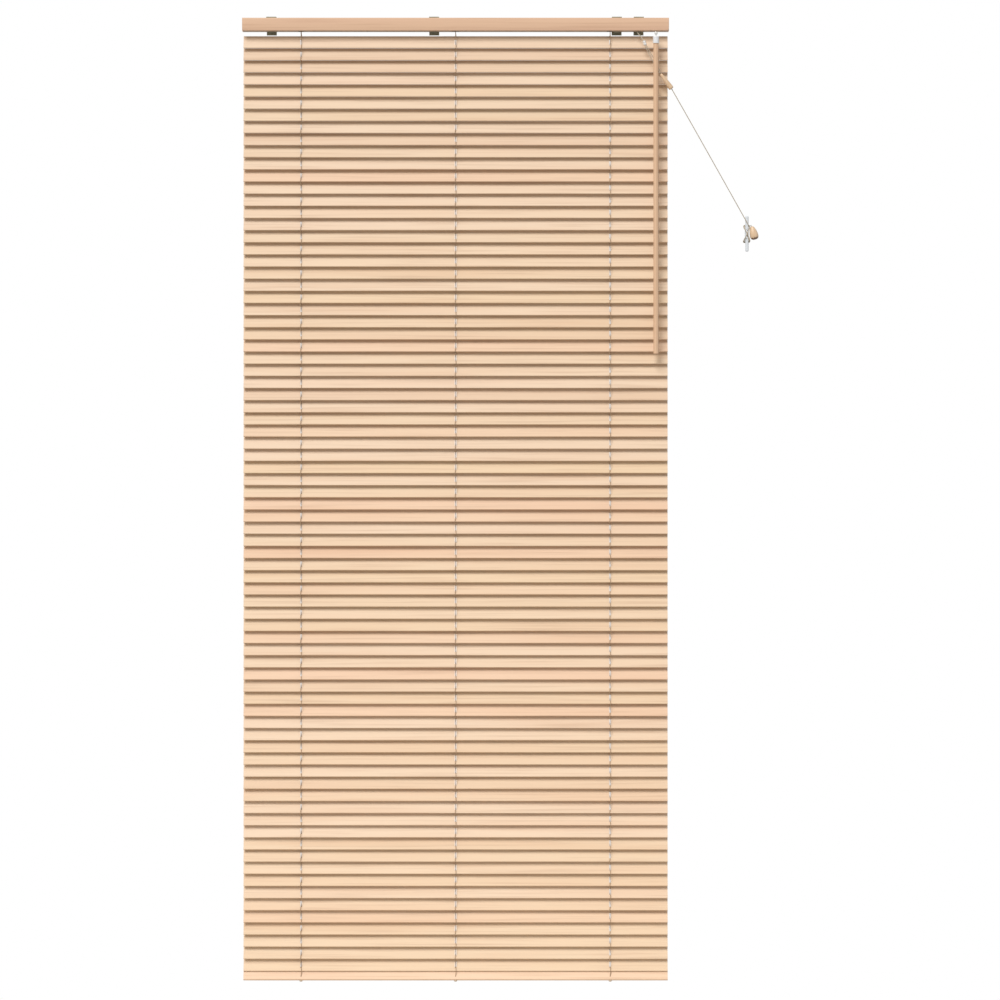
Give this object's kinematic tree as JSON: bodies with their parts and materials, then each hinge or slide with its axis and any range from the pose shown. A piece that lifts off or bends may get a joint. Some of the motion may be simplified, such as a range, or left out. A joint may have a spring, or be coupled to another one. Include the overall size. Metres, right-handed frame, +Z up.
{
  "type": "venetian blind",
  "caption": "Wooden venetian blind on four wall brackets, closed, with tilt wand, pull cord, tassel and wall cleat.",
  "frame": {"origin": "centre of the left wall bracket's screw hole, on the wall plane", "axes": "+Z up along the blind's drop, +Y into the wall, +X to the right as seen from the room"},
  "size_m": [0.9692, 0.0445, 1.81],
  "materials": {
    "valance_wood": "satin lacquered basswood",
    "channel_paint": "enamelled steel",
    "slat_wood": "satin lacquered basswood",
    "bracket_steel": "olive-grey zinc plated",
    "rod_steel": "drawn steel",
    "white_plastic": "moulded nylon",
    "clear_plastic": "clear polycarbonate",
    "button_plastic": "moulded, wood-toned",
    "wand_wood": "satin lacquered hardwood",
    "cord_fabric": "braided polyester"
  },
  "bodies": {
    "root": {"bottom_rail": "slat_wood", "cleat": "clear_plastic", "condenser_bell": "wand_wood", "cord_buttons": "button_plastic", "cord_joiner": "clear_plastic", "cord_lock_housing": "white_plastic", "cord_lock_pin": "rod_steel", "cord_strands": "cord_fabric", "cord_tail": "cord_fabric", "cord_windings": "cord_fabric", "drum_cradles": "white_plastic", "headrail": "channel_paint", "headrail_end_caps": "valance_wood", "ladder_strings_back": "cord_fabric", "ladder_strings_front": "cord_fabric", "lift_cords": "cord_fabric", "pull_cord": "cord_fabric", "slats_between_lower": "slat_wood", "slats_between_middle": "slat_wood", "slats_between_upper": "slat_wood", "tassel": "wand_wood", "tilter_housing": "white_plastic", "valance": "valance_wood", "wall_brackets": "bracket_steel"},
    "tilt_shaft": {"tilt_rod": "rod_steel", "ladder_drums": "white_plastic", "tilter_gear": "white_plastic"},
    "tilter_stem": {"tilter_worm": "white_plastic"},
    "wand_hanger": {"wand_socket": "white_plastic"},
    "wand_body": {"wand_sleeve": "clear_plastic", "wand": "wand_wood"},
    "lock_pawl": {"cord_lock_pawl": "white_plastic"},
    "slat_02_body": {"slat_02": "slat_wood"},
    "slat_05_body": {"slat_05": "slat_wood"},
    "slat_08_body": {"slat_08": "slat_wood"},
    "slat_11_body": {"slat_11": "slat_wood"},
    "slat_14_body": {"slat_14": "slat_wood"},
    "slat_17_body": {"slat_17": "slat_wood"},
    "slat_20_body": {"slat_20": "slat_wood"},
    "slat_23_body": {"slat_23": "slat_wood"},
    "slat_26_body": {"slat_26": "slat_wood"},
    "slat_29_body": {"slat_29": "slat_wood"},
    "slat_32_body": {"slat_32": "slat_wood"},
    "slat_35_body": {"slat_35": "slat_wood"},
    "slat_38_body": {"slat_38": "slat_wood"},
    "slat_41_body": {"slat_41": "slat_wood"},
    "slat_44_body": {"slat_44": "slat_wood"},
    "slat_47_body": {"slat_47": "slat_wood"},
    "slat_50_body": {"slat_50": "slat_wood"},
    "slat_53_body": {"slat_53": "slat_wood"},
    "slat_56_body": {"slat_56": "slat_wood"},
    "slat_59_body": {"slat_59": "slat_wood"},
    "slat_62_body": {"slat_62": "slat_wood"},
    "slat_65_body": {"slat_65": "slat_wood"},
    "slat_68_body": {"slat_68": "slat_wood"},
    "slat_71_body": {"slat_71": "slat_wood"},
    "slat_74_body": {"slat_74": "slat_wood"},
    "slat_77_body": {"slat_77": "slat_wood"}
  },
  "joints": [
    {"name": "tilt", "type": "hinge", "parent": "root", "child": "tilt_shaft", "pos_m": [0.721, -0.014, 0.001], "axis": [-1, 0, 0], "range_deg": [0, 68], "deforming": ["ladder_strings_front", "ladder_strings_back"]},
    {"name": "slat_02_tilt", "type": "hinge", "parent": "root", "child": "slat_02_body", "pos_m": [0.3457, -0.014, -0.05529], "axis": [-1, 0, 0], "range_deg": [0, 68]},
    {"name": "slat_05_tilt", "type": "hinge", "parent": "root", "child": "slat_05_body", "pos_m": [0.3457, -0.014, -0.12364], "axis": [-1, 0, 0], "range_deg": [0, 68]},
    {"name": "slat_08_tilt", "type": "hinge", "parent": "root", "child": "slat_08_body", "pos_m": [0.3457, -0.014, -0.19199], "axis": [-1, 0, 0], "range_deg": [0, 68]},
    {"name": "slat_11_tilt", "type": "hinge", "parent": "root", "child": "slat_11_body", "pos_m": [0.3457, -0.014, -0.26035], "axis": [-1, 0, 0], "range_deg": [0, 68]},
    {"name": "slat_14_tilt", "type": "hinge", "parent": "root", "child": "slat_14_body", "pos_m": [0.3457, -0.014, -0.32871], "axis": [-1, 0, 0], "range_deg": [0, 68]},
    {"name": "slat_17_tilt", "type": "hinge", "parent": "root", "child": "slat_17_body", "pos_m": [0.3457, -0.014, -0.39706], "axis": [-1, 0, 0], "range_deg": [0, 68]},
    {"name": "slat_20_tilt", "type": "hinge", "parent": "root", "child": "slat_20_body", "pos_m": [0.3457, -0.014, -0.46542], "axis": [-1, 0, 0], "range_deg": [0, 68]},
    {"name": "slat_23_tilt", "type": "hinge", "parent": "root", "child": "slat_23_body", "pos_m": [0.3457, -0.014, -0.53377], "axis": [-1, 0, 0], "range_deg": [0, 68]},
    {"name": "slat_26_tilt", "type": "hinge", "parent": "root", "child": "slat_26_body", "pos_m": [0.3457, -0.014, -0.60213], "axis": [-1, 0, 0], "range_deg": [0, 68]},
    {"name": "slat_29_tilt", "type": "hinge", "parent": "root", "child": "slat_29_body", "pos_m": [0.3457, -0.014, -0.67048], "axis": [-1, 0, 0], "range_deg": [0, 68]},
    {"name": "slat_32_tilt", "type": "hinge", "parent": "root", "child": "slat_32_body", "pos_m": [0.3457, -0.014, -0.73884], "axis": [-1, 0, 0], "range_deg": [0, 68]},
    {"name": "slat_35_tilt", "type": "hinge", "parent": "root", "child": "slat_35_body", "pos_m": [0.3457, -0.014, -0.80719], "axis": [-1, 0, 0], "range_deg": [0, 68]},
    {"name": "slat_38_tilt", "type": "hinge", "parent": "root", "child": "slat_38_body", "pos_m": [0.3457, -0.014, -0.87555], "axis": [-1, 0, 0], "range_deg": [0, 68]},
    {"name": "slat_41_tilt", "type": "hinge", "parent": "root", "child": "slat_41_body", "pos_m": [0.3457, -0.014, -0.9439], "axis": [-1, 0, 0], "range_deg": [0, 68]},
    {"name": "slat_44_tilt", "type": "hinge", "parent": "root", "child": "slat_44_body", "pos_m": [0.3457, -0.014, -1.01225], "axis": [-1, 0, 0], "range_deg": [0, 68]},
    {"name": "slat_47_tilt", "type": "hinge", "parent": "root", "child": "slat_47_body", "pos_m": [0.3457, -0.014, -1.08061], "axis": [-1, 0, 0], "range_deg": [0, 68]},
    {"name": "slat_50_tilt", "type": "hinge", "parent": "root", "child": "slat_50_body", "pos_m": [0.3457, -0.014, -1.14897], "axis": [-1, 0, 0], "range_deg": [0, 68]},
    {"name": "slat_53_tilt", "type": "hinge", "parent": "root", "child": "slat_53_body", "pos_m": [0.3457, -0.014, -1.21732], "axis": [-1, 0, 0], "range_deg": [0, 68]},
    {"name": "slat_56_tilt", "type": "hinge", "parent": "root", "child": "slat_56_body", "pos_m": [0.3457, -0.014, -1.28567], "axis": [-1, 0, 0], "range_deg": [0, 68]},
    {"name": "slat_59_tilt", "type": "hinge", "parent": "root", "child": "slat_59_body", "pos_m": [0.3457, -0.014, -1.35403], "axis": [-1, 0, 0], "range_deg": [0, 68]},
    {"name": "slat_62_tilt", "type": "hinge", "parent": "root", "child": "slat_62_body", "pos_m": [0.3457, -0.014, -1.42239], "axis": [-1, 0, 0], "range_deg": [0, 68]},
    {"name": "slat_65_tilt", "type": "hinge", "parent": "root", "child": "slat_65_body", "pos_m": [0.3457, -0.014, -1.49074], "axis": [-1, 0, 0], "range_deg": [0, 68]},
    {"name": "slat_68_tilt", "type": "hinge", "parent": "root", "child": "slat_68_body", "pos_m": [0.3457, -0.014, -1.55909], "axis": [-1, 0, 0], "range_deg": [0, 68]},
    {"name": "slat_71_tilt", "type": "hinge", "parent": "root", "child": "slat_71_body", "pos_m": [0.3457, -0.014, -1.62745], "axis": [-1, 0, 0], "range_deg": [0, 68]},
    {"name": "slat_74_tilt", "type": "hinge", "parent": "root", "child": "slat_74_body", "pos_m": [0.3457, -0.014, -1.69581], "axis": [-1, 0, 0], "range_deg": [0, 68]},
    {"name": "slat_77_tilt", "type": "hinge", "parent": "root", "child": "slat_77_body", "pos_m": [0.3457, -0.014, -1.76416], "axis": [-1, 0, 0], "range_deg": [0, 68]},
    {"name": "stem_turn", "type": "hinge", "parent": "root", "child": "tilter_stem", "pos_m": [0.721, -0.01075, -0.00793], "axis": [0, -0.9397, -0.342], "range_deg": [0, 1088]},
    {"name": "wand_swing", "type": "hinge", "parent": "root", "child": "wand_hanger", "pos_m": [0.721, -0.03875, -0.01812], "axis": [-1, 0, 0], "range_deg": [0, 35]},
    {"name": "wand_turn", "type": "hinge", "parent": "wand_hanger", "child": "wand_body", "pos_m": [0.721, -0.03875, -0.05], "axis": [0, 0, -1], "range_deg": [0, 1088]},
    {"name": "pawl_swing", "type": "hinge", "parent": "root", "child": "lock_pawl", "pos_m": [0.6823, -0.0236, -0.0072], "axis": [0, 1, 0], "range_deg": [0, 25]}
  ],
  "couplings": [
    {"joint": "slat_02_tilt", "follows": "tilt", "ratio": 1},
    {"joint": "slat_05_tilt", "follows": "tilt", "ratio": 1},
    {"joint": "slat_08_tilt", "follows": "tilt", "ratio": 1},
    {"joint": "slat_11_tilt", "follows": "tilt", "ratio": 1},
    {"joint": "slat_14_tilt", "follows": "tilt", "ratio": 1},
    {"joint": "slat_17_tilt", "follows": "tilt", "ratio": 1},
    {"joint": "slat_20_tilt", "follows": "tilt", "ratio": 1},
    {"joint": "slat_23_tilt", "follows": "tilt", "ratio": 1},
    {"joint": "slat_26_tilt", "follows": "tilt", "ratio": 1},
    {"joint": "slat_29_tilt", "follows": "tilt", "ratio": 1},
    {"joint": "slat_32_tilt", "follows": "tilt", "ratio": 1},
    {"joint": "slat_35_tilt", "follows": "tilt", "ratio": 1},
    {"joint": "slat_38_tilt", "follows": "tilt", "ratio": 1},
    {"joint": "slat_41_tilt", "follows": "tilt", "ratio": 1},
    {"joint": "slat_44_tilt", "follows": "tilt", "ratio": 1},
    {"joint": "slat_47_tilt", "follows": "tilt", "ratio": 1},
    {"joint": "slat_50_tilt", "follows": "tilt", "ratio": 1},
    {"joint": "slat_53_tilt", "follows": "tilt", "ratio": 1},
    {"joint": "slat_56_tilt", "follows": "tilt", "ratio": 1},
    {"joint": "slat_59_tilt", "follows": "tilt", "ratio": 1},
    {"joint": "slat_62_tilt", "follows": "tilt", "ratio": 1},
    {"joint": "slat_65_tilt", "follows": "tilt", "ratio": 1},
    {"joint": "slat_68_tilt", "follows": "tilt", "ratio": 1},
    {"joint": "slat_71_tilt", "follows": "tilt", "ratio": 1},
    {"joint": "slat_74_tilt", "follows": "tilt", "ratio": 1},
    {"joint": "slat_77_tilt", "follows": "tilt", "ratio": 1},
    {"joint": "stem_turn", "follows": "tilt", "ratio": 16},
    {"joint": "wand_turn", "follows": "tilt", "ratio": 16}
  ]
}
